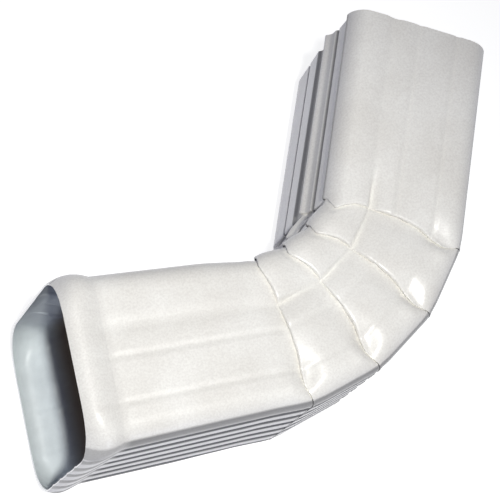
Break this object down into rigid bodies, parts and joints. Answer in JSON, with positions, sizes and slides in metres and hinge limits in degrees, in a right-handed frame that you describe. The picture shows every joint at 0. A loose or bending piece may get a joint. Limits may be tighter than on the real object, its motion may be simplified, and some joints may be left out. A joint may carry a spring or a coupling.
{
  "type": "downspout elbow",
  "caption": "Crimped rectangular downspout elbow of painted sheet with ribbed faces, a belled mouth and a plain cut end.",
  "frame": {"origin": "centre of the belled mouth, in the plane of its rim", "axes": "+X along the belled leg from the mouth towards the bend, +Y towards the throat side, where the plain leg turns to, +Z across the bend; the elbow lies on its side face"},
  "size_m": [0.1999, 0.1592, 0.0896],
  "materials": {
    "enamelled_sheet": "warm white baked enamel on aluminium sheet, satin"
  },
  "bodies": {
    "root": {"crimped_elbow": "enamelled_sheet"}
  },
  "joints": []
}
